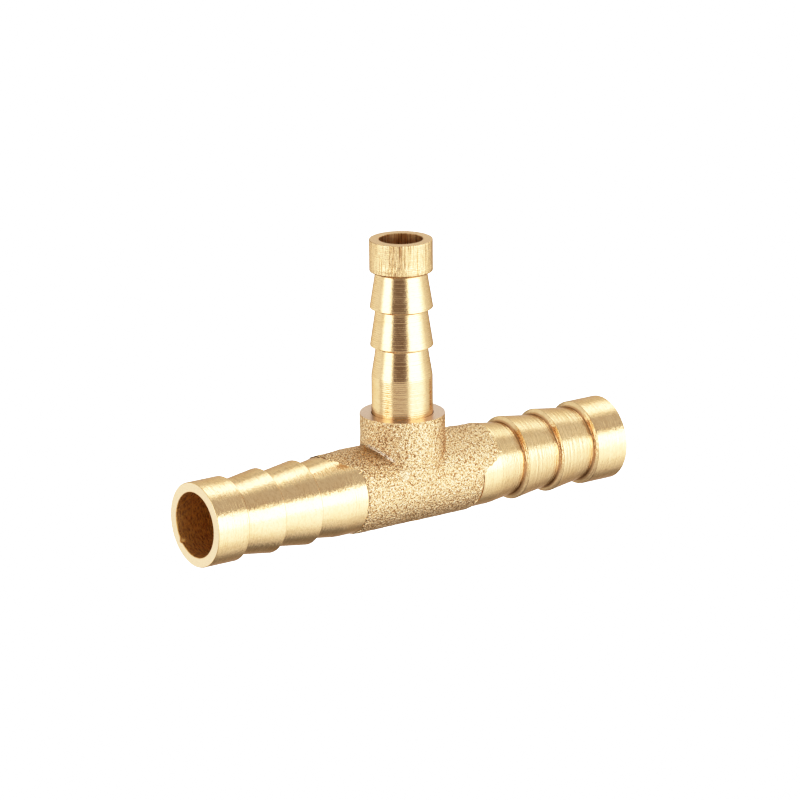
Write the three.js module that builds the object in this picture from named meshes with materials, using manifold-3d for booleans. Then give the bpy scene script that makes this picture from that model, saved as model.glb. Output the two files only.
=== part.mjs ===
// Brass barbed tee connector for small-bore hose. A forged tee body carries a hose tail on each
// of its three ports: two large tails in line (the run) and a smaller one square to them (the
// branch). Millimetres, +Z up. The origin is where the run axis crosses the branch axis. The
// run lies along X and the branch stands up along +Z.
import * as THREE from 'three';
import { mergeVertices } from 'three/addons/utils/BufferGeometryUtils.js';
import Module from 'manifold-3d';

// ---- Driving dimensions --------------------------------------------------------------------

const RUN_LENGTH = 52.8; // tip to tip, along X
const BRANCH_HEIGHT = 26.2; // run axis to the branch tip

// A hose tail has a plain collar at its tip. Behind it come barbs, each a cone that widens away
// from the tip and drops back at a short steep face. After the last barb one more cone runs out
// onto a plain base cylinder, which ends at the body. Inside the body the tail is a spigot.
const RUN_TAIL = {
  boreRadius: 3.45,
  rootWall: 0.45, // brass round the bore at the small end of each cone
  barbHeight: 0.6, // crest above root
  baseStep: 0.15, // base cylinder below the crests
  collarLength: 3.8,
  plainLength: 5.9, // last barb crest to the body
  spigotStep: 0.37, // spigot below the base cylinder
  spigotLength: 2.6,
};
const BRANCH_TAIL = {
  boreRadius: 2.3,
  rootWall: 0.45,
  barbHeight: 0.6,
  baseStep: 0.07,
  collarLength: 3.35,
  plainLength: 7.3,
  spigotStep: 0, // a plain shank, so that the hose stop round it is flat right up to it
  spigotLength: 2.2,
};
const BARBS = 2; // on each tail, behind the collar

const BODY_LENGTH = 15.0; // forged barrel, end to end
const BARREL_STEP = 0.2; // barrel above the base cylinders of the run tails
const BOSS_LEDGE = 1.22; // width of the boss shoulder, where the branch hose stops
const BOSS_RISE = 2.9; // boss shoulder above the top of the barrel

const EDGE_BREAK = 0.12; // chamfer on each tip, outside and inside
const CREST_LAND = 0.2; // narrow flat on top of a barb crest
const BACK_FACE = 0.4; // axial length of the steep face behind a crest
const SEAT_CLEARANCE = 0.05; // gap round a spigot, behind it, and under the tail's shoulder

const OVERCUT = 1; // how far a cutting cylinder runs past the face it opens

const SEGMENTS = 40; // facets round every turned surface, the same so that they line up

const FORGED_BRASS = { color: 0xc9a868, roughness: 0.55, metalness: 1.0 };
const TURNED_BRASS = { color: 0xe0be78, roughness: 0.2, metalness: 1.0 };

// ---- Turned hose tails ---------------------------------------------------------------------

function radiiOf(tail) {
  const root = tail.boreRadius + tail.rootWall;
  const crest = root + tail.barbHeight;
  const base = crest - tail.baseStep;
  return { root, crest, base, spigot: base - tail.spigotStep };
}

const runRadii = radiiOf(RUN_TAIL);
const branchRadii = radiiOf(BRANCH_TAIL);
const barrelRadius = runRadii.base + BARREL_STEP;
const bossRadius = branchRadii.base + BOSS_LEDGE;
const bossHeight = barrelRadius + BOSS_RISE;

// Half section of a hose tail as [radius, height], with the tip at `tipHeight` and the shoulder
// that meets the body at `shoulderHeight`. It closes on itself, so the lathed solid is a tube.
function tailSection(tail, tipHeight, shoulderHeight) {
  const { root, crest, base, spigot } = radiiOf(tail);
  const bore = tail.boreRadius;
  const barbedLength = tipHeight - shoulderHeight - tail.collarLength - tail.plainLength;
  const pitch = barbedLength / BARBS;
  const slope = tail.barbHeight / (pitch - BACK_FACE - CREST_LAND);

  const section = [
    [bore, tipHeight - EDGE_BREAK],
    [bore + EDGE_BREAK, tipHeight],
    [crest - EDGE_BREAK, tipHeight],
    [crest, tipHeight - EDGE_BREAK],
  ];
  let edge = tipHeight - tail.collarLength;
  for (let barb = 0; barb < BARBS; barb += 1) {
    section.push([crest, edge], [root, edge - BACK_FACE]);
    edge -= pitch;
    section.push([crest, edge + CREST_LAND]);
  }
  const lastRoot = edge - BACK_FACE;
  section.push([crest, edge], [root, lastRoot], [base, lastRoot - (base - root) / slope]);

  const spigotEnd = shoulderHeight - tail.spigotLength;
  if (tail.spigotStep > 0) {
    section.push([base, shoulderHeight], [spigot, shoulderHeight]);
  }
  section.push(
    [spigot, spigotEnd],
    [bore, spigotEnd],
    [bore, tipHeight - EDGE_BREAK],
  );
  return section.map(([radius, height]) => new THREE.Vector2(radius, height));
}

// LatheGeometry faces out when its section runs clockwise, seen with the radius to the right.
function hoseTail(name, tail, tipHeight, shoulderHeight) {
  const section = tailSection(tail, tipHeight, shoulderHeight).reverse();
  const geometry = new THREE.LatheGeometry(section, SEGMENTS);
  const mesh = new THREE.Mesh(geometry, new THREE.MeshStandardMaterial(TURNED_BRASS));
  mesh.name = name;
  return mesh;
}

// ---- Forged body ---------------------------------------------------------------------------

const wasm = await Module();
wasm.setup();

function toSolid(geometry) {
  const bare = geometry.clone();
  bare.deleteAttribute('normal');
  bare.deleteAttribute('uv');
  const merged = mergeVertices(bare);
  const vertProperties = new Float32Array(merged.attributes.position.array);
  const triVerts = new Uint32Array(merged.index.array);
  return new wasm.Manifold(new wasm.Mesh({ numProp: 3, vertProperties, triVerts }));
}

function toGeometry(solid) {
  const { vertProperties, triVerts } = solid.getMesh();
  const geometry = new THREE.BufferGeometry();
  geometry.setAttribute('position', new THREE.BufferAttribute(vertProperties, 3));
  geometry.setIndex(new THREE.BufferAttribute(triVerts, 1));
  geometry.computeVertexNormals();
  return geometry;
}

// Cylinder along X, centred on the origin.
function alongRun(radius, length) {
  const geometry = new THREE.CylinderGeometry(radius, radius, length, SEGMENTS);
  return toSolid(geometry.rotateZ(-Math.PI / 2));
}

// Cylinder along Z, between two heights.
function alongBranch(radius, bottom, top) {
  const geometry = new THREE.CylinderGeometry(radius, radius, top - bottom, SEGMENTS);
  geometry.rotateX(Math.PI / 2);
  geometry.translate(0, 0, (bottom + top) / 2);
  return toSolid(geometry);
}

// Blind sockets for the run tails' spigots, one in each end of the barrel: a cylinder longer
// than the barrel, less the web of brass that is left between the two sockets.
function runSockets() {
  const radius = runRadii.spigot + SEAT_CLEARANCE;
  const web = alongRun(barrelRadius, BODY_LENGTH - 2 * RUN_TAIL.spigotLength);
  return alongRun(radius, BODY_LENGTH + 2 * OVERCUT).subtract(web);
}

// Blind socket for the branch tail's spigot, in the top of the boss.
function branchSocket() {
  const floor = bossHeight - BRANCH_TAIL.spigotLength;
  return alongBranch(branchRadii.spigot + SEAT_CLEARANCE, floor, bossHeight + OVERCUT);
}

function teeBody() {
  const solid = alongRun(barrelRadius, BODY_LENGTH)
    .add(alongBranch(bossRadius, 0, bossHeight))
    .subtract(alongRun(RUN_TAIL.boreRadius, BODY_LENGTH + 2 * OVERCUT))
    .subtract(alongBranch(BRANCH_TAIL.boreRadius, 0, bossHeight + OVERCUT))
    .subtract(runSockets())
    .subtract(branchSocket());
  const mesh = new THREE.Mesh(toGeometry(solid), new THREE.MeshStandardMaterial(FORGED_BRASS));
  mesh.name = 'tee_body';
  return mesh;
}

// ---- Assembly ------------------------------------------------------------------------------

const runShoulder = BODY_LENGTH / 2 + SEAT_CLEARANCE;
const branchShoulder = bossHeight + SEAT_CLEARANCE;

const leftTail = hoseTail('run_barb_left', RUN_TAIL, RUN_LENGTH / 2, runShoulder);
leftTail.rotation.z = Math.PI / 2;

const rightTail = hoseTail('run_barb_right', RUN_TAIL, RUN_LENGTH / 2, runShoulder);
rightTail.rotation.z = -Math.PI / 2;

const branchTail = hoseTail('branch_barb', BRANCH_TAIL, BRANCH_HEIGHT, branchShoulder);
branchTail.rotation.x = Math.PI / 2;

const tee = new THREE.Group();
tee.add(teeBody(), leftTail, rightTail, branchTail);

export default tee;
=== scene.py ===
# %% [markdown]
# # A small brass hose tee
# The object is a tee connector for thin flexible hose. Two barbed tails lie in line (the run) and
# a smaller barbed tail stands on top (the branch). The middle is a rough forged body; the tails
# are turned bright on a lathe. The whole lesson is about that contrast: sharp bright turning
# against matt, sparkling, shot-blasted brass.
# The CAD frame gives every place and size, so the pieces made here drop straight into it.

# %% Load the frame
import math

import bmesh
import bpy
import numpy as np
from mathutils import Matrix, Vector
from mathutils import noise as hash_noise


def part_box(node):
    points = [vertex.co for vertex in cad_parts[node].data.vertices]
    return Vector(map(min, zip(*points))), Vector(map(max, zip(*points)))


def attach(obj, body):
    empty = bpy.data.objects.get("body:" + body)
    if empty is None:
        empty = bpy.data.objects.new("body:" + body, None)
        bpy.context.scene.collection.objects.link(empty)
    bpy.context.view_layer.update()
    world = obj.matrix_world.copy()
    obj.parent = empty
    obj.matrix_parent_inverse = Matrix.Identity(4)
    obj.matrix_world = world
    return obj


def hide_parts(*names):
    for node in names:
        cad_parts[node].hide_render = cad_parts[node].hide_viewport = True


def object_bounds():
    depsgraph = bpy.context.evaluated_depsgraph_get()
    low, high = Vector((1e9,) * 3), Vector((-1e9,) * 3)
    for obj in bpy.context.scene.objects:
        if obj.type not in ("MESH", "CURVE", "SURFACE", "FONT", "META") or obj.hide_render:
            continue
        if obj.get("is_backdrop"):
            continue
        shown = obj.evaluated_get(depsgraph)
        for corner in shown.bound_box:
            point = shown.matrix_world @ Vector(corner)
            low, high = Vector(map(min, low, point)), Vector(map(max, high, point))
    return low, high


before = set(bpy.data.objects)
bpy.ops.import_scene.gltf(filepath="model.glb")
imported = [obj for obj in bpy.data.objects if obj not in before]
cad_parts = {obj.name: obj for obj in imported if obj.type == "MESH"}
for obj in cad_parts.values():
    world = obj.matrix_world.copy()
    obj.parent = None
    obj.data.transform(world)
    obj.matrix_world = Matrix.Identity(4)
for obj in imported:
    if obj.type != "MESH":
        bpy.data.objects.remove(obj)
cad_low, cad_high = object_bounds()
print("CAD box in mm:", [round(1000 * side, 2) for side in cad_high - cad_low])

# %% [markdown]
# ## Sizes from the frame
# A fitting this small is easiest to think about in millimetres, so the pieces are drawn in
# millimetres and shrunk to metres when they are finished. The frame's own solids are plain, but
# they know the tips, the crests and the bores, so those are measured from them here.

# %% Measure the tails and the body
MM = 0.001
X_AXIS, Z_AXIS = 0, 2


def mesh_points(mesh):
    """The mesh's corner points, one row each."""
    points = np.zeros(3 * len(mesh.vertices), np.float32)
    mesh.vertices.foreach_get("co", points)
    return points.reshape(-1, 3)


def move_points(mesh, points):
    """Puts the corner points where the rows say."""
    mesh.vertices.foreach_set("co", points.astype(np.float32).ravel())
    mesh.update()


def measure_tail(node, axis):
    """Tip, foot, crest radius and bore radius of a turned tail that lies along one axis."""
    points = mesh_points(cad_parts[node].data) / MM
    along = np.abs(points[:, axis])
    across = np.linalg.norm(np.delete(points, axis, axis=1), axis=1)
    return {
        "tip": float(along.max()),
        "foot": float(along.min()),
        "crest": float(across.max()),
        "bore": float(across.min()),
    }


run = measure_tail("run_barb_right", X_AXIS)
branch = measure_tail("branch_barb", Z_AXIS)
body_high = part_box("tee_body")[1]
BODY_END = body_high.x / MM
SHOULDER = body_high.z / MM
print("run tail", run)
print("branch tail", branch)
print("body ends at", round(BODY_END, 2), "and its shoulder is at", round(SHOULDER, 2))

# %% [markdown]
# The frame doesn't say where each barb sits, so those steps are listed here, in millimetres from
# the tip. A tail is a straight collar and then a row of cones, each with a steep back face.
# `barb` is how far a crest stands above its root, `base_step` how far the plain end lies under
# the crests, and `spigot_step` how much thinner the hidden spigot is. The eases are the rounding
# of the corners. The feed is how far the tool moved along at each turn of the lathe, and the seed
# picks its chatter.

# %% Steps along the tails
RUN_TAIL = {
    "collar": 3.8,
    "cones": (4.6, 4.6),
    "barb": 0.6,
    "back": 0.3,
    "base_step": 0.15,
    "spigot_step": 0.37,
    "tip_ease": 0.1,
    "crest_ease": 0.08,
    "run_out_ease": 0.5,
    "feed": 0.27,
    "mark_depth": 0.002,
    "seed": 11,
}
BRANCH_TAIL = {
    "collar": 3.35,
    "cones": (3.95, 4.1),
    "barb": 0.6,
    "back": 0.22,
    "base_step": 0.11,
    "spigot_step": 0.0,
    "tip_ease": 0.08,
    "crest_ease": 0.08,
    "run_out_ease": 0.12,
    "feed": 0.33,
    "mark_depth": 0.0045,
    "seed": 12,
}


def back_faces(tail):
    """Where the foot of each barb's back face is, in millimetres from the tip."""
    feet = [tail["collar"] + tail["back"]]
    for cone in tail["cones"]:
        feet.append(feet[-1] + cone)
    return feet


print("backs of the run's barbs", [round(foot, 2) for foot in back_faces(RUN_TAIL)])
print("backs of the branch's barbs", [round(foot, 2) for foot in back_faces(BRANCH_TAIL)])

# %% [markdown]
# ## Camera
# A long lens held well back keeps the three tails almost free of perspective, the way small
# hardware is usually shown. The camera stands to the left of the fitting and a little above it,
# so that it looks at the open bore of the near tail. It aims above the run, which leaves the
# fitting low in a square picture.

# %% Camera
LENS = 264.1
CAMERA_AZIMUTH = -35.74
CAMERA_ELEVATION = 16.92
CAMERA_DISTANCE = 0.6176
CAMERA_ROLL = math.radians(-0.51)
AIM_UP = 0.00838
AIM_LEFT = 0.00031


def direction(azimuth, elevation):
    """Unit vector away from the fitting. Azimuth 0 is the front (-Y), 90 is the right (+X)."""
    turn, rise = math.radians(azimuth), math.radians(elevation)
    flat = math.cos(rise)
    return Vector((math.sin(turn) * flat, -math.cos(turn) * flat, math.sin(rise)))


def picture_axes(back):
    """Right and up in the picture, for a camera that looks along minus `back`."""
    right = Vector((0, 0, 1)).cross(back).normalized()
    up = back.cross(right)
    tilt = Matrix.Rotation(CAMERA_ROLL, 3, back)
    return tilt @ right, tilt @ up


camera_data = bpy.data.cameras.new("product_camera")
camera_data.sensor_width = 36.0
camera_data.lens = LENS
camera_data.clip_start = 0.01
camera_data.clip_end = 20.0
camera = bpy.data.objects.new("product_camera", camera_data)
bpy.context.scene.collection.objects.link(camera)

right, up = picture_axes(direction(CAMERA_AZIMUTH, CAMERA_ELEVATION))
stand = direction(CAMERA_AZIMUTH, CAMERA_ELEVATION) * CAMERA_DISTANCE
aim = up * AIM_UP - right * AIM_LEFT
back = (stand - aim).normalized()
right, up = picture_axes(back)
camera.matrix_world = Matrix.LocRotScale(
    stand, Matrix((right, up, back)).transposed().to_quaternion(), None
)
bpy.context.scene.camera = camera
print("camera stands at", [round(c, 3) for c in stand])

# %% [markdown]
# ## Studio
# Polished brass has hardly any colour of its own: what it shows is the room. The bright bands on
# a turned tail are soft boxes, the dark band between them is the unlit side of the studio, and
# the warm tan edges are the pale backdrop seen at a slant. So the light is planned as directions
# round the fitting. Each panel is a patch of sky with soft edges, given by its azimuth and its
# elevation in degrees, and the room between the panels is a ramp from the floor to the ceiling.
# The tone curve is a gentle shoulder on each colour: brass stays warm up to the highlights, which
# then roll off through cream to white. The camera itself sees a plain white wall, so the panels
# only show in the brass.

# %% Tone curve
scene = bpy.context.scene
scene.view_settings.view_transform = "Standard"
scene.view_settings.look = "None"
scene.view_settings.use_curve_mapping = True

SCENE_WHITE = 2.0
SHOULDER_CURVE = [(0.3, 0.3), (0.6, 0.58), (1.0, 0.84), (1.5, 0.985)]
tone = scene.view_settings.curve_mapping
tone.extend = "HORIZONTAL"
tone.white_level = (SCENE_WHITE, SCENE_WHITE, SCENE_WHITE)
combined = tone.curves[3]
for light_level, shown in SHOULDER_CURVE:
    combined.points.new(light_level / SCENE_WHITE, shown)
tone.update()
print("tone curve has", len(combined.points), "points")

# %% [markdown]
# The room and the finishes are all built from the same few kinds of node. Adding each one by hand
# takes several lines, so these small helpers add a node, set it and wire it in one go.

# %% Node helpers
def add(tree, kind, **settings):
    """A node with its settings; names that match an input socket set that socket's value."""
    node = tree.nodes.new(kind)
    for name, value in settings.items():
        if name in node.inputs:
            node.inputs[name].default_value = value
        else:
            setattr(node, name, value)
    return node


def calculate(tree, operation, first, second=None):
    """One Math node. Each operand is a number or an output."""
    node = add(tree, "ShaderNodeMath", operation=operation)
    for socket, value in zip(node.inputs, (first, second)):
        if isinstance(value, (int, float)):
            socket.default_value = value
        elif value is not None:
            tree.links.new(value, socket)
    return node.outputs["Value"]


def product(tree, first, *others):
    """Multiplies outputs and numbers together, from left to right."""
    for other in others:
        first = calculate(tree, "MULTIPLY", first, other)
    return first


def xyz(tree, vector):
    """The X, Y and Z outputs of a vector."""
    split = add(tree, "ShaderNodeSeparateXYZ")
    tree.links.new(vector, split.inputs["Vector"])
    return [split.outputs[axis] for axis in "XYZ"]


def ease(tree, value, start, end):
    """Rises smoothly from 0 at `start` to 1 at `end`; it falls instead if start is above end."""
    node = add(tree, "ShaderNodeMapRange", interpolation_type="SMOOTHSTEP")
    node.inputs["From Min"].default_value = start
    node.inputs["From Max"].default_value = end
    tree.links.new(value, node.inputs["Value"])
    return node.outputs["Result"]


def ramp(tree, factor, stops):
    """A grey or colour ramp through `stops`, a list of (position, level or colour)."""
    node = add(tree, "ShaderNodeValToRGB")
    while len(node.color_ramp.elements) < len(stops):
        node.color_ramp.elements.new(0.5)
    for element, (position, level) in zip(node.color_ramp.elements, stops):
        element.position = position
        element.color = (*level, 1) if isinstance(level, tuple) else (level, level, level, 1)
    tree.links.new(factor, node.inputs["Fac"])
    return node.outputs["Color"]


# %% [markdown]
# A reflection looks up the room by direction, so the direction is first turned into an azimuth
# and an elevation, as on a star chart. An azimuth has to jump back by a full turn somewhere. Here
# it runs half a turn either way from its middle, so the jump lies behind the left of the fitting.
# Only the dim backdrops meet there, and they meet at nearly the same level.

# %% Directions in the room
world = bpy.data.worlds.new("studio_room")
scene.world = world
world.use_nodes = True
room = world.node_tree
room.nodes.clear()
AZIMUTH_MIDDLE = 60.0

looking = add(room, "ShaderNodeTexCoord").outputs["Generated"]
turned = add(room, "ShaderNodeVectorRotate", rotation_type="Z_AXIS")
turned.inputs["Angle"].default_value = -math.radians(AZIMUTH_MIDDLE)
room.links.new(looking, turned.inputs["Vector"])
side, front, rise = xyz(room, turned.outputs["Vector"])
azimuth = calculate(room, "ARCTAN2", side, calculate(room, "MULTIPLY", front, -1.0))
azimuth = calculate(room, "ADD", calculate(room, "DEGREES", azimuth), AZIMUTH_MIDDLE)
elevation = calculate(room, "DEGREES", calculate(room, "ARCSINE", rise))
print("the azimuth jumps at", AZIMUTH_MIDDLE - 180, "degrees")


def panel(turn, lift, strength):
    """A soft-edged patch of light. `turn` and `lift` are (start, full, full, end) in degrees."""
    return product(
        room,
        ease(room, azimuth, turn[0], turn[1]),
        ease(room, azimuth, turn[3], turn[2]),
        ease(room, elevation, lift[0], lift[1]),
        ease(room, elevation, lift[3], lift[2]),
        strength,
    )


# %% The room and its panels
STUDIO_WHITE = 2.2
WALL_LIFT = (-24, -4, 34, 50)
height = add(room, "ShaderNodeMapRange", **{"From Min": -90.0, "From Max": 90.0})
room.links.new(elevation, height.inputs["Value"])
room_levels = [
    (-90, (0.16, 0.15, 0.14)),
    (-68, (0.2, 0.18, 0.17)),
    (-50, (0.34, 0.31, 0.3)),
    (-30, (0.85, 0.82, 0.8)),
    (-14, (0.7, 0.66, 0.64)),
    (-4, (0.17, 0.11, 0.09)),
    (12, (0.16, 0.11, 0.09)),
    (40, (0.57, 0.55, 0.53)),
    (90, (0.55, 0.55, 0.55)),
]
stops = [((lift + 90) / 180, level) for lift, level in room_levels]
light = ramp(room, height.outputs["Result"], stops)
panels = {
    "right_soft_box": panel((-13, -3, 42, 62), (-4, 8, 15, 30), 5.0),
    "right_soft_box_low": panel((-13, -3, 32, 54), (-14, -2, 8, 20), 5.0),
    "right_halo": panel((44, 60, 76, 104), (-40, -20, 30, 52), 0.95),
    "floor_glow": panel((-28, 8, 32, 92), (-96, -8, 2, 13), 2.45),
    "low_floor_glow": panel((-28, 8, 60, 130), (-80, -52, -22, -6), 1.0),
    "left_soft_box": panel((-122, -101, -84, -69), (-34, 0, 22, 34), 4.2),
    "top_soft_box": panel((74, 102, 130, 154), (26, 60, 74, 84), 3.6),
    "ceiling_glow": panel((30, 92, 130, 175), (42, 60, 89, 90), 1.6),
    "backdrop": panel((50, 84, 152, 168), WALL_LIFT, 0.95),
    "curtain": panel((50, 84, 300, 320), WALL_LIFT, 0.42),
    "backdrop_end": panel((186, 204, 300, 320), WALL_LIFT, 0.97),
    "left_backdrop": panel((-300, -290, -104, -90), WALL_LIFT, 1.0),
    "floor_behind": panel((130, 190, 228, 238), (-50, -26, -10, 2), 1.35),
}
for name, glow in panels.items():
    brighter = add(room, "ShaderNodeMix", data_type="RGBA", blend_type="LIGHTEN", Factor=1.0)
    room.links.new(light, brighter.inputs["A"])
    room.links.new(glow, brighter.inputs["B"])
    light = brighter.outputs["Result"]
background = add(room, "ShaderNodeBackground", Strength=1.0)
room.links.new(light, background.inputs["Color"])
white_wall = add(room, "ShaderNodeBackground", Color=(1, 1, 1, 1), Strength=STUDIO_WHITE)
seen_directly = add(room, "ShaderNodeLightPath").outputs["Is Camera Ray"]
wall = add(room, "ShaderNodeMixShader")
room.links.new(seen_directly, wall.inputs["Fac"])
room.links.new(background.outputs["Background"], wall.inputs[1])
room.links.new(white_wall.outputs["Background"], wall.inputs[2])
room_out = add(room, "ShaderNodeOutputWorld")
room.links.new(wall.outputs["Shader"], room_out.inputs["Surface"])
print("panels of light:", ", ".join(panels))

# %% [markdown]
# The floor is a plain white sheet, lit so evenly that it has no visible edge. It lies a little
# below the fitting, which is carried by its hoses when it is in use. Reflections take the floor's
# light from the room instead, so that they stay smooth.

# %% Floor
FLOOR_DROP = 0.02
FLOOR_REACH = 6.0
floor_mesh = bpy.data.meshes.new("floor")
corners = [(-1, -1, 0), (1, -1, 0), (1, 1, 0), (-1, 1, 0)]
floor_mesh.from_pydata([FLOOR_REACH * Vector(corner) for corner in corners], [], [(0, 1, 2, 3)])
floor = bpy.data.objects.new("floor", floor_mesh)
bpy.context.scene.collection.objects.link(floor)
floor.location.z = cad_low.z - FLOOR_DROP
floor.visible_glossy = False
floor.visible_diffuse = False
floor.visible_shadow = False
floor_paint = bpy.data.materials.new("white_sheet")
floor_paint.use_nodes = True
sheet = floor_paint.node_tree.nodes["Principled BSDF"]
sheet.inputs["Base Color"].default_value = (0.9, 0.9, 0.9, 1)
sheet.inputs["Emission Color"].default_value = (1, 1, 1, 1)
sheet.inputs["Emission Strength"].default_value = STUDIO_WHITE
floor_mesh.materials.append(floor_paint)
floor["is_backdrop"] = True
print("floor lies at", round(floor.location.z / MM, 2), "mm")

# %% [markdown]
# ## Brass, turned and blasted
# Both finishes are the same metal. A metallic Principled shader gives the colour of the
# reflection. The turned finish is smooth, with fine tool lines that run round the tail. The
# blasted finish is covered with tiny dents that scatter the light into sparkles.

# %% Material helpers
EDGE_TINT = (0.66, 0.53, 0.43, 1)


def new_material(name, base, roughness=0.2):
    """A bare brass material, its node tree, its shader and its object coordinates."""
    material = bpy.data.materials.new(name)
    material.use_nodes = True
    tree = material.node_tree
    shader = tree.nodes["Principled BSDF"]
    shader.inputs["Metallic"].default_value = 1.0
    shader.inputs["Base Color"].default_value = (*base, 1)
    shader.inputs["Roughness"].default_value = roughness
    shader.inputs["Specular Tint"].default_value = EDGE_TINT
    place = add(tree, "ShaderNodeTexCoord").outputs["Object"]
    return material, tree, shader, place


def noise(tree, place, scale, detail=2.0, roughness=0.5):
    """Noise whose grain may differ along X, Y and Z. `scale` is in grains for each metre."""
    stretch = add(tree, "ShaderNodeVectorMath", operation="MULTIPLY")
    stretch.inputs[1].default_value = scale
    tree.links.new(place, stretch.inputs[0])
    grain = add(tree, "ShaderNodeTexNoise", Scale=1.0, Detail=detail, Roughness=roughness)
    tree.links.new(stretch.outputs["Vector"], grain.inputs["Vector"])
    return grain.outputs["Fac"]


def bump(tree, height, distance, under=None):
    """Adds a bump of `distance` metres on top of the normal `under`."""
    node = add(tree, "ShaderNodeBump", Strength=1.0, Distance=distance)
    tree.links.new(height, node.inputs["Height"])
    if under is not None:
        tree.links.new(under, node.inputs["Normal"])
    return node.outputs["Normal"]


def mix_colour(tree, factor, first, second):
    """Mixes two colours, or outputs, by `factor`."""
    node = add(tree, "ShaderNodeMix", data_type="RGBA")
    tree.links.new(factor, node.inputs["Factor"])
    for socket, value in (("A", first), ("B", second)):
        if isinstance(value, tuple):
            node.inputs[socket].default_value = (*value, 1)
        else:
            tree.links.new(value, node.inputs[socket])
    return node.outputs["Result"]


# %% Turned brass
BRIGHT = (0.92, 0.64, 0.33)
BRIGHT_DEEP = (0.80, 0.50, 0.21)
BRIGHT_DARK = (0.68, 0.42, 0.18)
LINE_GRAIN = (3800, 60)
GRIT_GRAIN = (5000, 2600)
POLISH_GRAIN = (1300, 60)
CLOUD_GRAIN = (420, 420)
GLOSS = {"To Min": 0.14, "To Max": 0.26}


def rings(axis, fine, coarse):
    """Grains for each metre: `fine` along the axis and `coarse` across it."""
    return tuple(fine if index == axis else coarse for index in range(3))


def turned_brass(name, axis, line_depth, grit_depth):
    """Bright turning: fine tool lines round the axis, a little grit and uneven polish."""
    material, tree, shader, place = new_material(name, BRIGHT)
    lines = noise(tree, place, rings(axis, *LINE_GRAIN), detail=3.0, roughness=0.65)
    grit = noise(tree, place, rings(axis, *GRIT_GRAIN), detail=2.0, roughness=0.6)
    polish = noise(tree, place, rings(axis, *POLISH_GRAIN), detail=2.0)
    cloud = noise(tree, place, rings(axis, *CLOUD_GRAIN), detail=3.0, roughness=0.6)
    stain = ramp(tree, cloud, [(0.46, 0.0), (0.75, 0.5)])
    colour = mix_colour(tree, stain, BRIGHT, BRIGHT_DEEP)
    speckle = ramp(tree, grit, [(0.36, 0.32), (0.52, 0.0)])
    colour = mix_colour(tree, speckle, colour, BRIGHT_DARK)
    tree.links.new(colour, shader.inputs["Base Color"])
    gloss = add(tree, "ShaderNodeMapRange", **GLOSS)
    tree.links.new(polish, gloss.inputs["Value"])
    tree.links.new(gloss.outputs["Result"], shader.inputs["Roughness"])
    normal = bump(tree, lines, line_depth)
    normal = bump(tree, grit, grit_depth, under=normal)
    tree.links.new(normal, shader.inputs["Normal"])
    return material, tree, shader, place, colour, normal


# %% [markdown]
# On the run a thin brown ring of painted shade darkens each inner corner behind the barbs, where
# little light reaches. The rings are placed by their distance from the middle, so one material
# does for both tails.

# %% Painted shade behind the barbs of the run
ROOT_SHADE_WIDTH = (0.16, 0.048)
ROOT_SHADE_SHARE = 0.8
ROOT_SHADE = (0.42, 0.2, 0.07)
run_turned, tree, shader, place, colour, _ = turned_brass(
    "turned_brass_run", X_AXIS, line_depth=5.0e-5, grit_depth=2.4e-5
)
from_middle = calculate(tree, "ABSOLUTE", xyz(tree, place)[0])
# Each ring is painted shade in an inner corner behind a barb.
for foot in back_faces(RUN_TAIL):
    offset = calculate(tree, "SUBTRACT", from_middle, (run["tip"] - foot) * MM)
    offset = calculate(tree, "ABSOLUTE", offset)
    root_shade = ease(tree, offset, ROOT_SHADE_WIDTH[0] * MM, ROOT_SHADE_WIDTH[1] * MM)
    colour = mix_colour(tree, product(tree, root_shade, ROOT_SHADE_SHARE), colour, ROOT_SHADE)
tree.links.new(colour, shader.inputs["Base Color"])
print(run_turned.name, "has", len(tree.nodes), "nodes")

# %% [markdown]
# The branch has been through rougher hands. Its collar carries scratches along the tube, left
# where the fitting was gripped and pulled from the bar, and a dull mottled edge. They are the
# same turned brass with a second bump, kept to the collar by its height on the axis.

# %% Scratched collar on the branch
COLLAR_FOOT = branch["tip"] - BRANCH_TAIL["collar"]
COLLAR_START = (-0.05, 0.15)
MOTTLED_BAND = (1.5, 0.3)
SCRATCH = (0.5, 0.27, 0.1)
SCRATCH_GRAIN = (6500, 6500, 260)
SCRATCH_DEPTH = 9e-5
MOTTLE_GRAIN = (3600, 3600, 3000)
FINE_FEED = 0.21
FINE_FEED_DEPTH = 2.1e-6
branch_turned, tree, shader, place, colour, normal = turned_brass(
    "turned_brass_branch", Z_AXIS, line_depth=1.8e-5, grit_depth=1.1e-5
)
up_the_branch = xyz(tree, place)[2]
turns = calculate(tree, "MULTIPLY", up_the_branch, 2 * math.pi / (FINE_FEED * MM))
normal = bump(tree, calculate(tree, "SINE", turns), FINE_FEED_DEPTH, under=normal)
on_collar = ease(tree, up_the_branch, *((COLLAR_FOOT + step) * MM for step in COLLAR_START))
near_edge = ease(tree, up_the_branch, *((COLLAR_FOOT + step) * MM for step in MOTTLED_BAND))
scratches = noise(tree, place, SCRATCH_GRAIN, detail=3.0, roughness=0.65)
mottle = product(tree, noise(tree, place, MOTTLE_GRAIN, detail=2.0), near_edge)
relief = product(tree, calculate(tree, "ADD", scratches, mottle), on_collar)
normal = bump(tree, relief, SCRATCH_DEPTH, under=normal)
tree.links.new(normal, shader.inputs["Normal"])
dark_lines = product(tree, ramp(tree, scratches, [(0.38, 1.0), (0.45, 0.0)]), on_collar)
colour = mix_colour(tree, dark_lines, colour, SCRATCH)
tree.links.new(colour, shader.inputs["Base Color"])
print(branch_turned.name, "has", len(tree.nodes), "nodes")
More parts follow.
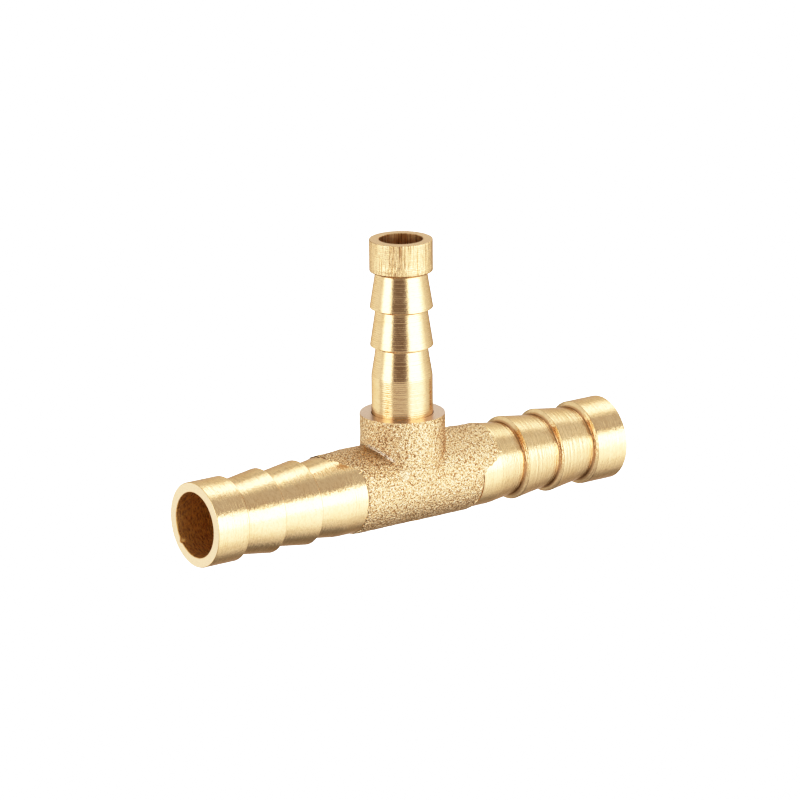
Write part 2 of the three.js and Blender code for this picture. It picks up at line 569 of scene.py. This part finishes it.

# %% [markdown]
# A drilled bore is rougher than a turned outside, and light only reaches it after several
# bounces from brass to brass. Each bounce takes out more blue and green, which makes a brass
# tube look red-brown inside. The run's bore colour is also deeper and redder than the outside
# brass, which is painted shade on top of those bounces. The faced shoulder is duller too, because
# the tool there cuts towards the centre and tears the surface a little.

# %% Bored and faced brass
# The run's bore colour: bored brass with painted shade, deeper and redder than the turned brass.
BORE_WITH_SHADE = (0.96, 0.585, 0.18)
BORE_DULL = (1.0, 0.7, 0.36)
BORE_SMUT = (0.55, 0.26, 0.08)
BORE_DEPTH = 5e-5
RUN_BORE_GRAIN = (5200, 2300, 2300)
BRANCH_BORE_GRAIN = (2300, 2300, 150)
FACED = (0.92, 0.74, 0.6)
TIP_FACED = (1.0, 0.74, 0.45)
FACED_GRAIN = (5000, 5000, 5000)
FACED_DEPTH = 1.2e-5
HAZE_SHADE = 0.8


def bored_brass(name, base, grain, roughness):
    """Drilled finish, rougher than turning. `grain` draws the marks out round or along it."""
    material, tree, shader, place = new_material(name, base, roughness)
    marks = noise(tree, place, grain, detail=3.0, roughness=0.7)
    smut = ramp(tree, marks, [(0.38, 0.9), (0.56, 0.0)])
    colour = mix_colour(tree, smut, base, BORE_SMUT)
    tree.links.new(colour, shader.inputs["Base Color"])
    tree.links.new(bump(tree, marks, BORE_DEPTH), shader.inputs["Normal"])
    return material


def faced_brass(name, base, roughness):
    """Dull facing cut with a fine torn grain."""
    material, tree, shader, place = new_material(name, base, roughness)
    grain = noise(tree, place, FACED_GRAIN, detail=2.0)
    haze = ramp(tree, grain, [(0.35, 0.6), (0.65, 0.0)])
    colour = mix_colour(tree, haze, base, tuple(HAZE_SHADE * part for part in base))
    tree.links.new(colour, shader.inputs["Base Color"])
    tree.links.new(bump(tree, grain, FACED_DEPTH), shader.inputs["Normal"])
    return material


run_bored = bored_brass("bored_brass_run", BORE_WITH_SHADE, RUN_BORE_GRAIN, roughness=0.5)
branch_bored = bored_brass("bored_brass_branch", BORE_DULL, BRANCH_BORE_GRAIN, roughness=0.28)
shoulder_faced = faced_brass("faced_brass", FACED, 0.32)
tip_faced = faced_brass("tip_faced_brass", TIP_FACED, 0.3)
for finish in (run_bored, branch_bored, shoulder_faced, tip_faced):
    print(finish.name, "has", len(finish.node_tree.nodes), "nodes")

# %% [markdown]
# The forging is cleaned by blasting it with shot, which leaves steep little dents: bright on
# their rubbed tops and dark in their pits. One noise drives the colour and the bump together, so
# that the pits are dark where they are deep. Three places get painted light and shade. In the
# crease between the boss and the left of the barrel the skin is painted a darker brown as painted
# shade, with a thin painted highlight along the ridge of flash from the die. Lower down, a round
# patch is painted paler with fewer dark pits, as a painted highlight.

# %% Blasted brass
BLAST_PEAK = (1.0, 0.82, 0.54)
BLAST_HIGH = (0.92, 0.62, 0.31)
BLAST_LOW = (0.3, 0.14, 0.045)
BLAST_GRAIN = (5600, 5600, 5600)
BLAST_DEPTH = 1.45e-4
FINE_GRAIN = (9000, 9000, 9000)
FINE_DEPTH = 3.0e-5
FRONT = (0.0, -0.0006)
# Painted shade in the crease left of the boss.
CREASE_SHADE_LEFT = (-0.0019, -0.00025)
CREASE_SHADE_RIGHT = (0.0002, 0.0)
CREASE_SHADE_LIFT = (0.0019, 0.0029)
CREASE_SHADE_SHARE = 0.42
# Painted highlight along the flash ridge in that crease.
FLASH_HIGHLIGHT = (1.0, 0.8, 0.6)
FLASH_HIGHLIGHT_LEFT = (-0.0003, -0.00014)
FLASH_HIGHLIGHT_RIGHT = (0.00022, 0.00006)
FLASH_HIGHLIGHT_LIFT = (0.0031, 0.0036)
FLASH_HIGHLIGHT_BREAKS = (0.38, 0.5)
# Painted highlight on a round patch lower down.
HIGHLIGHT_PATCH_PLACE = (-0.0026, -0.0038, 0.0019)
HIGHLIGHT_PATCH_REACH = (0.00027, 0.0009)
HIGHLIGHT_PATCH_LEAST = 0.4


def blasted_brass(name):
    """Shot-blasted skin: steep little dents with dark pits and bright rubbed tops."""
    material, tree, shader, place = new_material(name, BLAST_HIGH, 0.26)
    grain = noise(tree, place, BLAST_GRAIN, detail=3.0, roughness=0.6)
    fine = noise(tree, place, FINE_GRAIN, detail=1.0)
    tops = ramp(tree, grain, [(0.52, 0.0), (0.62, 1.0)])
    pits = ramp(tree, grain, [(0.4, 1.0), (0.49, 0.0)])
    x, y, z = xyz(tree, place)
    from_crease = calculate(tree, "ADD", x, z)
    in_front = ease(tree, y, *FRONT)
    # Painted shade: the crease left of the boss is painted darker brown.
    crease_shade = product(
        tree,
        ease(tree, from_crease, *CREASE_SHADE_LEFT),
        ease(tree, from_crease, *CREASE_SHADE_RIGHT),
        ease(tree, z, *CREASE_SHADE_LIFT),
        in_front,
        CREASE_SHADE_SHARE,
    )
    # Painted highlight: a thin pale line along the flash ridge.
    flash_highlight = product(
        tree,
        ease(tree, from_crease, *FLASH_HIGHLIGHT_LEFT),
        ease(tree, from_crease, *FLASH_HIGHLIGHT_RIGHT),
        ease(tree, z, *FLASH_HIGHLIGHT_LIFT),
        in_front,
        ease(tree, grain, *FLASH_HIGHLIGHT_BREAKS),
    )
    # Painted highlight: a round patch is painted paler, with fewer dark pits.
    from_patch = add(tree, "ShaderNodeVectorMath", operation="DISTANCE")
    from_patch.inputs[1].default_value = HIGHLIGHT_PATCH_PLACE
    tree.links.new(place, from_patch.inputs[0])
    outside_highlight_patch = ease(tree, from_patch.outputs["Value"], *HIGHLIGHT_PATCH_REACH)
    outside_highlight_patch = calculate(tree, "ADD", product(tree, outside_highlight_patch, 1 - HIGHLIGHT_PATCH_LEAST), HIGHLIGHT_PATCH_LEAST)
    pits = product(tree, pits, outside_highlight_patch)
    colour = mix_colour(tree, tops, BLAST_HIGH, BLAST_PEAK)
    colour = mix_colour(tree, outside_highlight_patch, BLAST_PEAK, colour)
    colour = mix_colour(tree, crease_shade, colour, BLAST_LOW)
    colour = mix_colour(tree, pits, colour, BLAST_LOW)
    colour = mix_colour(tree, flash_highlight, colour, FLASH_HIGHLIGHT)
    tree.links.new(colour, shader.inputs["Base Color"])
    normal = bump(tree, grain, BLAST_DEPTH)
    normal = bump(tree, fine, FINE_DEPTH, under=normal)
    tree.links.new(normal, shader.inputs["Normal"])
    return material


body_blasted = blasted_brass("blasted_brass")
print(body_blasted.name, "has", len(body_blasted.node_tree.nodes), "nodes")

# %% [markdown]
# ## Turning a tail
# A turned part is a section spun round an axis, so the section is drawn as a closed outline of
# (distance from the tip, radius) and swept round in many small steps. Corners get a small
# radius, because a real tool and a little tumbling leave no razor edges, and because a rounded
# edge is what catches a thin line of light.

# %% Section helpers
LEG_SHARE = 0.45
CHATTER_SHARE = 0.35
SEGMENTS = 256
TAIL_CREASE = math.radians(35)
AT_TIP = 1e-6


def rounded(points, steps=5):
    """The outline with its corners eased. Each point is (s, radius) or (s, radius, easing)."""
    outline = [points[0][:2]]
    for before, corner, after in zip(points, points[1:], points[2:]):
        here = np.array(corner[:2])
        if len(corner) == 2:
            outline.append(tuple(here))
            continue
        back_leg, front_leg = np.array(before[:2]) - here, np.array(after[:2]) - here
        ease_back = min(corner[2], LEG_SHARE * np.linalg.norm(back_leg))
        ease_front = min(corner[2], LEG_SHARE * np.linalg.norm(front_leg))
        start = here + back_leg / np.linalg.norm(back_leg) * ease_back
        end = here + front_leg / np.linalg.norm(front_leg) * ease_front
        for t in np.linspace(0, 1, steps + 1):
            outline.append(tuple((1 - t) ** 2 * start + 2 * t * (1 - t) * here + t**2 * end))
    outline.append(points[-1][:2])
    return outline


def resampled(outline, longest):
    """The outline with points added so that no step is longer than `longest`."""
    filled = []
    for first, second in zip(outline, outline[1:]):
        first, second = np.array(first), np.array(second)
        count = max(1, math.ceil(np.linalg.norm(second - first) / longest))
        filled += [tuple(first + (second - first) * k / count) for k in range(count)]
    filled.append(tuple(outline[-1]))
    return filled


def tool_marks(outline, feed, depth, seed):
    """Lowers the outline by the shallow groove a tool cuts at each turn, with some chatter."""
    random = np.random.default_rng(seed)
    chatter = random.normal(0, CHATTER_SHARE * depth, len(outline))
    return [
        (s, r - depth * abs(math.sin(math.pi * s / feed)) + c)
        for (s, r), c in zip(outline, chatter)
    ]


def face_outwards(piece):
    """Turns the faces of a closed mesh so that they look out."""
    work = bmesh.new()
    work.from_mesh(piece.data)
    bmesh.ops.recalc_face_normals(work, faces=work.faces)
    work.to_mesh(piece.data)
    work.free()


def spin(name, section, place, finishes):
    """Sweeps a section round an axis. `place` maps (s, a, b) to x, y, z in millimetres.

    `section` is the closed loop of (s, radius) and the row where its bore begins.
    `finishes` are those of the outside, the bore and the tip face.
    """
    loop, bore_from = section
    angles = np.linspace(0, 2 * math.pi, SEGMENTS, endpoint=False)
    s, r = np.array(loop).T
    across = r[:, None] * np.cos(angles), r[:, None] * np.sin(angles)
    points = place(np.repeat(s[:, None], SEGMENTS, 1), *across)
    points = np.stack(points, -1).reshape(-1, 3) * MM
    rows, columns = len(loop), SEGMENTS
    row, column = np.meshgrid(np.arange(rows), np.arange(columns), indexing="ij")
    next_row, next_column = (row + 1) % rows, (column + 1) % columns
    corners = (row, column), (row, next_column), (next_row, next_column), (next_row, column)
    faces = np.stack([i * columns + j for i, j in corners], -1).reshape(-1, 4)
    mesh = bpy.data.meshes.new(name)
    mesh.from_pydata(points.tolist(), [], faces.tolist())
    for finish in finishes:
        mesh.materials.append(finish)
    on_tip = (s[row.ravel()] < AT_TIP) & (s[next_row.ravel()] < AT_TIP)
    finish_index = np.select([on_tip, row.ravel() >= bore_from], [2, 1], 0)
    mesh.polygons.foreach_set("material_index", finish_index.astype(np.int32))
    piece = bpy.data.objects.new(name, mesh)
    bpy.context.scene.collection.objects.link(piece)
    face_outwards(piece)
    mesh.shade_smooth()
    mesh.set_sharp_from_angle(angle=TAIL_CREASE)
    print(name, "has", len(mesh.polygons), "faces")
    return piece


# %% [markdown]
# The barbs are the working part. Each is a cone that widens away from the tip, so that the hose
# slides on easily, and then drops at a steep back face, so that it can't slide off. All three
# tails are drawn by one function from their own handful of sizes.

# %% Tail outline
BORE_CHAMFER = 0.05
ROOT_EASE = 0.08
OUTSIDE_STEP = 0.1
BORE_STEP = 0.25
BORE_FEED = 0.6
BORE_MARK_DEPTH = 0.006


def tail_section(size, tail, shoulder):
    """Closed loop of (s, radius) with the tip at s = 0, and the row where the bore begins."""
    tip, crest, bore = size["tip"], size["crest"], size["bore"]
    root, base = crest - tail["barb"], crest - tail["base_step"]
    foot = tip - size["foot"]
    spigot = base - tail["spigot_step"]
    slope = (crest - root) / (tail["cones"][0] - tail["back"])
    lip = bore + BORE_CHAMFER
    outside = [(0.0, lip), (0.0, crest, tail["tip_ease"])]
    for back in back_faces(tail):
        outside.append((back - tail["back"], crest, tail["crest_ease"]))
        outside.append((back, root, ROOT_EASE))
    run_out = back + (base - root) / slope
    outside.append((run_out, base, tail["run_out_ease"]))
    outside += [(tip - shoulder, base), (tip - shoulder, spigot), (foot, spigot), (foot, bore)]
    inside = [(foot, bore), (BORE_CHAMFER, bore), (0.0, lip)]
    outer = resampled(rounded(outside), OUTSIDE_STEP)
    outer = tool_marks(outer, tail["feed"], tail["mark_depth"], tail["seed"])
    inner = resampled(rounded(inside), BORE_STEP)
    inner = tool_marks(inner, BORE_FEED, BORE_MARK_DEPTH, tail["seed"] + 1)
    return outer[:-1] + inner[:-1], len(outer) - 1


TUCK = 0.05
run_section = tail_section(run, RUN_TAIL, BODY_END + TUCK)
branch_section = tail_section(branch, BRANCH_TAIL, SHOULDER + TUCK)
print("the run's outline has", len(run_section[0]), "points")
print("the branch's outline has", len(branch_section[0]), "points")

# %% Spin the three tails
run_finishes = (run_turned, run_bored, tip_faced)
branch_finishes = (branch_turned, branch_bored, tip_faced)
left_tail = spin(
    "left_run_tail", run_section, lambda s, a, b: (s - run["tip"], a, b), run_finishes
)
right_tail = spin(
    "right_run_tail", run_section, lambda s, a, b: (run["tip"] - s, a, b), run_finishes
)
branch_tail = spin(
    "branch_tail", branch_section, lambda s, a, b: (a, b, branch["tip"] - s), branch_finishes
)

# %% [markdown]
# The drill has left a small nick in the edge of the near bore, at the lower left. It is pressed in
# by moving the points near it outwards, most at the edge and less further in, so the tail stays
# one closed mesh.

# %% Nick in the near bore
NICK_ANGLE = math.radians(-42)
NICK_WIDTH = 0.22
NICK_DEPTH = 0.3
NICK_LENGTH = 0.5
NICK_REACH = 0.6
nicked = mesh_points(left_tail.data) / MM
from_tip = nicked[:, 0] + run["tip"]
radius = np.hypot(nicked[:, 1], nicked[:, 2])
round_the_bore = (np.arctan2(nicked[:, 2], nicked[:, 1]) - NICK_ANGLE) * run["bore"]
push = NICK_DEPTH * np.exp(-((round_the_bore / NICK_WIDTH) ** 2))
push *= np.clip(1 - from_tip / NICK_LENGTH, 0, 1)
push *= np.clip(1 - (radius - run["bore"]) / NICK_REACH, 0, 1)
nicked[:, 1:] *= (1 + push / radius)[:, None]
move_points(left_tail.data, nicked * MM)
print("the nick moves", int((push > 0.01).sum()), "points")

# %% [markdown]
# ## Forging the body
# The body is squeezed in a die and then blasted, so it has no crisp lines except where a tool
# has faced it. It is built as a lump: a barrel and a boss are joined, the lump is remeshed into
# even small faces, and each corner point is slid onto a smooth blend of the two cylinders.
# Dents are then pressed in with procedural textures, and the bores and faces are cut last, so
# that they stay sharp.

# %% Body sizes
BARREL_RADIUS = 4.5
BOSS_RADIUS = 4.5
BOSS_FLOOR = 0.15
LUMP_END = 11.4
LUMP_TOP = SHOULDER + 1.0
LUMP_FACE = 0.084
SIDES = 192


def cylinder(name, radius, low, high, axis):
    """A closed cylinder in millimetres, from `low` to `high` along X or Z."""
    angles = np.linspace(0, 2 * math.pi, SIDES, endpoint=False)
    ring = np.stack([radius * np.cos(angles), radius * np.sin(angles)], -1)
    points = []
    for end in (low, high):
        for a, b in ring:
            points.append((end, a, b) if axis == X_AXIS else (a, b, end))
    faces = [(k, (k + 1) % SIDES, SIDES + (k + 1) % SIDES, SIDES + k) for k in range(SIDES)]
    faces += [tuple(range(SIDES - 1, -1, -1)), tuple(range(SIDES, 2 * SIDES))]
    mesh = bpy.data.meshes.new(name)
    mesh.from_pydata(points, [], faces)
    solid = bpy.data.objects.new(name, mesh)
    bpy.context.scene.collection.objects.link(solid)
    face_outwards(solid)
    return solid


def apply_modifiers(piece):
    """Bakes the modifiers into the piece's own mesh."""
    graph = bpy.context.evaluated_depsgraph_get()
    settled = bpy.data.meshes.new_from_object(piece.evaluated_get(graph))
    old = piece.data
    piece.modifiers.clear()
    piece.data = settled
    bpy.data.meshes.remove(old)


def combine(piece, other, operation):
    """Joins or cuts `piece` with `other`, which is used up."""
    step = piece.modifiers.new(operation.lower(), "BOOLEAN")
    step.operation = operation
    step.object = other
    step.solver = "MANIFOLD"
    apply_modifiers(piece)
    bpy.data.objects.remove(other)


# %% The lump
body = cylinder("forged_body", BARREL_RADIUS, -LUMP_END, LUMP_END, X_AXIS)
combine(body, cylinder("boss_lump", BOSS_RADIUS, BOSS_FLOOR, LUMP_TOP, Z_AXIS), "UNION")
remesh = body.modifiers.new("even_faces", "REMESH")
remesh.mode = "VOXEL"
remesh.voxel_size = LUMP_FACE
apply_modifiers(body)
print("the lump has", len(body.data.vertices), "points")

# %% [markdown]
# The edge of the forged skin isn't a straight circle. The lathe only reached part of the way up
# the barrel, so the rough skin runs further out on top, and it starts to do so lower down at the
# right than at the left. So the lump is longer than the body, and a border says how far the skin
# goes at each angle round the barrel. At the border the skin sinks into the turned surface, which
# gives the edge its raggedness without any step.

# %% Border between forged and turned
RIGHT_BORDER = {"least": 7.3, "more": 2.85, "rises": (-5, 33), "falls": (135, 175)}
LEFT_BORDER = {"least": 7.6, "more": 2.9, "rises": (34, 84), "falls": (125, 165)}
RAGGED = 0.45
RUN_OUT = (-0.1, 0.45)
CRUMBS_PER_MM = 3.2
run_base = run["crest"] - RUN_TAIL["base_step"]
run_spigot = run_base - RUN_TAIL["spigot_step"]
branch_base = branch["crest"] - BRANCH_TAIL["base_step"]


def smooth_step(value, start, end):
    """0 below `start`, 1 above `end`, smooth between."""
    t = np.clip((value - start) / (end - start), 0, 1)
    return t * t * (3 - 2 * t)


def border(points):
    """How far out along X the forged skin goes, by the angle round the barrel from the front."""
    x, y, z = points.T
    lift = np.degrees(np.arctan2(z, -y))
    reach = []
    for side in (RIGHT_BORDER, LEFT_BORDER):
        high = smooth_step(lift, *side["rises"]) * (1 - smooth_step(lift, *side["falls"]))
        reach.append(side["least"] + side["more"] * high)
    return np.where(x > 0, *reach)


def forged_share(points, crumbs):
    """1 on the forged skin, 0 on the turned ends, with a ragged change between."""
    inside = border(points) + RAGGED * crumbs - np.abs(points[:, 0])
    return smooth_step(inside, *RUN_OUT)


def crumbs_at(points):
    """A lumpy seeded noise, one value for each point, about a grain across."""
    return np.array([hash_noise.noise(Vector(p) * CRUMBS_PER_MM) for p in points])


print("forged skin reaches", RIGHT_BORDER["least"], "mm right and", LEFT_BORDER["least"], "mm left")

# %% [markdown]
# The skin is written as one formula, the distance from each point to the wanted surface. It holds
# the barrel, the boss, the soft blend between them and the thin ridge of flash in the left crease.
# A point slides down the slope of that distance until it is zero, which keeps the faces even.

# %% Slide the points onto the smooth blend
WEAR = 0.09
WEAR_SPAN = (-0.4, 1.0)
SUNK = 0.08
SUNK_SPAN = (-0.02, 0.02)
BLEND_LEAST = 0.04
BLEND_MORE = 0.16
BLEND_LIFT = (0.3, 3.5)
SEAM_SHIFT = 0.02
SEAM_WIDTH = 0.11
SEAM_RISE = 0.24
SEAM_LIFT = (3.0, 3.5)
STEEP_LEAST = 0.3


def skin_radius(points, crumbs):
    """Forged radius in the middle, turned radius at the ends, and sunk under the tails."""
    x = np.abs(points[:, 0])
    worn = BARREL_RADIUS - WEAR * smooth_step(x, *(BODY_END + step for step in WEAR_SPAN))
    turned = run_base - SUNK * smooth_step(x, *(BODY_END + step for step in SUNK_SPAN))
    return turned + (worn - turned) * forged_share(points, crumbs)


def lump_distance(points, crumbs):
    """Signed distance from the skin of the body, with the two cylinders blended."""
    x, y, z = points.T
    barrel = np.maximum(np.hypot(y, z) - skin_radius(points, crumbs), np.abs(x) - LUMP_END)
    boss = np.maximum(np.hypot(x, y) - BOSS_RADIUS, z - LUMP_TOP)
    boss = np.maximum(boss, BOSS_FLOOR - z)
    blend = BLEND_LEAST + BLEND_MORE * smooth_step(z, *BLEND_LIFT)
    share = np.clip(0.5 + 0.5 * (boss - barrel) / blend, 0, 1)
    skin = boss + (barrel - boss) * share - blend * share * (1 - share)
    across_line = (z + x) / math.sqrt(2) + SEAM_SHIFT
    seam = np.exp(-((across_line / SEAM_WIDTH) ** 2)) * smooth_step(z, *SEAM_LIFT)
    return skin - SEAM_RISE * seam * (x < 0) * (y < 0)


def slide_onto_skin(mesh, rounds=4, probe=0.01):
    """Moves each point along the slope of the distance until the distance is zero."""
    points = mesh_points(mesh).astype(float)
    crumbs = crumbs_at(points)
    for _ in range(rounds):
        here = lump_distance(points, crumbs)
        ahead = [lump_distance(points + probe * axis, crumbs) for axis in np.eye(3)]
        slope = (np.stack(ahead, -1) - here[:, None]) / probe
        steep = np.maximum((slope**2).sum(1), STEEP_LEAST)
        points -= (here / steep)[:, None] * slope
    move_points(mesh, points)
    return forged_share(points, crumbs)


skin_share = slide_onto_skin(body.data)
skin_group = body.vertex_groups.new(name="forged_skin")
levels = np.round(skin_share, 1)
for level in np.unique(levels):
    chosen = np.flatnonzero(levels == level)
    skin_group.add(chosen.tolist(), float(level), "REPLACE")
print("forged skin covers", round(100 * float((skin_share > 0.5).mean())), "% of the points")

# %% [markdown]
# Seen close, a forging isn't smooth: the die leaves broad waves and the shot leaves fine dents.
# They could be a bump in the material only, but then the outline would stay too clean. So both are
# pressed into the mesh, and the vertex group keeps them off the turned ends.

# %% Press in the dents
def dents(piece, name, size, depth):
    """Displaces the skin by a procedural texture with dents about `size` millimetres across."""
    texture = bpy.data.textures.new(name, "CLOUDS")
    texture.noise_scale = size
    press = piece.modifiers.new(name, "DISPLACE")
    press.texture = texture
    press.texture_coords = "LOCAL"
    press.strength = depth
    press.mid_level = 0.5
    press.vertex_group = skin_group.name


dents(body, "shot_dents", size=0.3, depth=0.09)
dents(body, "forging_waves", size=1.6, depth=0.06)
apply_modifiers(body)
print("the dented lump is", [round(side, 2) for side in body.dimensions], "mm")

# %% [markdown]
# The drill and the lathe come last, as they do in the workshop. Cuts with plain cylinders give
# crisp edges to the bores, the turned ends, the flat shoulder, and the sockets that take the tails.

# %% Bores, sockets and faced shoulder
TAIL_GAP = 0.05
SKIM = 0.005
PAST_END = 13.0
PAST_TOP = 12.0
FACING_RADIUS = 8.0
cuts = [
    ("run_bore", run["bore"], -PAST_END, PAST_END, X_AXIS),
    ("left_socket", run_spigot + TAIL_GAP, -PAST_END, TAIL_GAP - run["foot"], X_AXIS),
    ("right_socket", run_spigot + TAIL_GAP, run["foot"] - TAIL_GAP, PAST_END, X_AXIS),
    ("left_turning", run_base - SKIM, -PAST_END, -BODY_END, X_AXIS),
    ("right_turning", run_base - SKIM, BODY_END, PAST_END, X_AXIS),
    ("branch_bore", branch["bore"], 0.0, PAST_TOP, Z_AXIS),
    ("branch_socket", branch_base + TAIL_GAP, branch["foot"] - TAIL_GAP, PAST_TOP, Z_AXIS),
    ("faced_shoulder", FACING_RADIUS, SHOULDER, PAST_TOP, Z_AXIS),
]
for name, radius, low, high, axis in cuts:
    combine(body, cylinder(name, radius, low, high, axis), "DIFFERENCE")
print("cuts made:", ", ".join(cut[0] for cut in cuts))

# %% [markdown]
# Where the rough skin thins out over the turned ends, the cuts leave a few loose flakes, as
# filings would be left on the bench. Only the one connected body is kept. The flakes are found by
# walking from face to face over shared edges.

# %% Brush off the flakes
WELD = 1e-5


def keep_largest(piece):
    """Deletes every island of faces but the largest, and gives the number of islands found."""
    work = bmesh.new()
    work.from_mesh(piece.data)
    bmesh.ops.remove_doubles(work, verts=work.verts, dist=WELD)
    work.faces.ensure_lookup_table()
    island_of = {}
    islands = []
    for start in work.faces:
        if start in island_of:
            continue
        island, waiting = [], [start]
        island_of[start] = len(islands)
        while waiting:
            face = waiting.pop()
            island.append(face)
            for edge in face.edges:
                for neighbour in edge.link_faces:
                    if neighbour not in island_of:
                        island_of[neighbour] = len(islands)
                        waiting.append(neighbour)
        islands.append(island)
    largest = max(islands, key=len)
    flakes = [face for face in work.faces if islands[island_of[face]] is not largest]
    bmesh.ops.delete(work, geom=flakes, context="FACES")
    open_edges = sum(len(edge.link_faces) != 2 for edge in work.edges)
    work.to_mesh(piece.data)
    work.free()
    return len(islands), len(flakes), open_edges


print("islands, flake faces brushed off, edges not shared by two:", keep_largest(body))
print("the body has", sum(len(face.vertices) - 2 for face in body.data.polygons), "triangles")

# %% [markdown]
# The cut faces are bright and the skin is matt, yet they are one mesh. Each face takes its finish
# from where it lies: the faced shoulder first, then the bores, then the turned ends. What is left
# is the blasted skin.

# %% Finishes on the body
NEAR = 0.02
TURNED_NEAR = 0.03
TURNED_FROM = 7.0
FACING_UP = 0.9
BODY_CREASE = math.radians(50)
middles = np.zeros(3 * len(body.data.polygons), np.float32)
normals = np.zeros(3 * len(body.data.polygons), np.float32)
body.data.polygons.foreach_get("center", middles)
body.data.polygons.foreach_get("normal", normals)
x, y, z = middles.reshape(-1, 3).T
upward = normals.reshape(-1, 3)[:, 2]
in_bore = (np.hypot(y, z) < run["bore"] + NEAR) | (np.hypot(x, y) < branch["bore"] + NEAR)
faced = (z > SHOULDER - NEAR) & (upward > FACING_UP)
turned_end = (np.abs(x) > TURNED_FROM) & (np.hypot(y, z) < run_base + TURNED_NEAR)
body.data.materials.clear()
for finish in (body_blasted, run_turned, shoulder_faced, run_bored):
    body.data.materials.append(finish)
finish_index = np.select([faced, in_bore, turned_end], [2, 3, 1], 0)
print("faces by finish", np.bincount(finish_index))
body.data.polygons.foreach_set("material_index", finish_index.astype(np.int32))
body.data.transform(Matrix.Scale(MM, 4))
body.data.shade_smooth()
body.data.set_sharp_from_angle(angle=BODY_CREASE)
print("the body has", len(body.data.polygons), "faces")

# %% [markdown]
# ## Putting the pieces on the frame
# Each piece stands for one plain solid of the frame and rides on the frame's only body. The
# finish it takes is printed beside it.

# %% Ride, replace and print the finish
pieces = [
    (body, "tee_body", "forged_brass"),
    (left_tail, "run_barb_left", "turned_brass"),
    (right_tail, "run_barb_right", "turned_brass"),
    (branch_tail, "branch_barb", "turned_brass"),
]
for piece, node, finish in pieces:
    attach(piece, "root")
    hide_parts(node)
    print(piece.name, "stands for", node, "in", finish)

# %% [markdown]
# Last, the box of the finished pieces is printed, to set beside the box of the plain solids
# printed at the start.

# %% Print the box of the finished pieces
low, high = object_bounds()
print("visual box in mm:", [round(1000 * side, 2) for side in high - low])
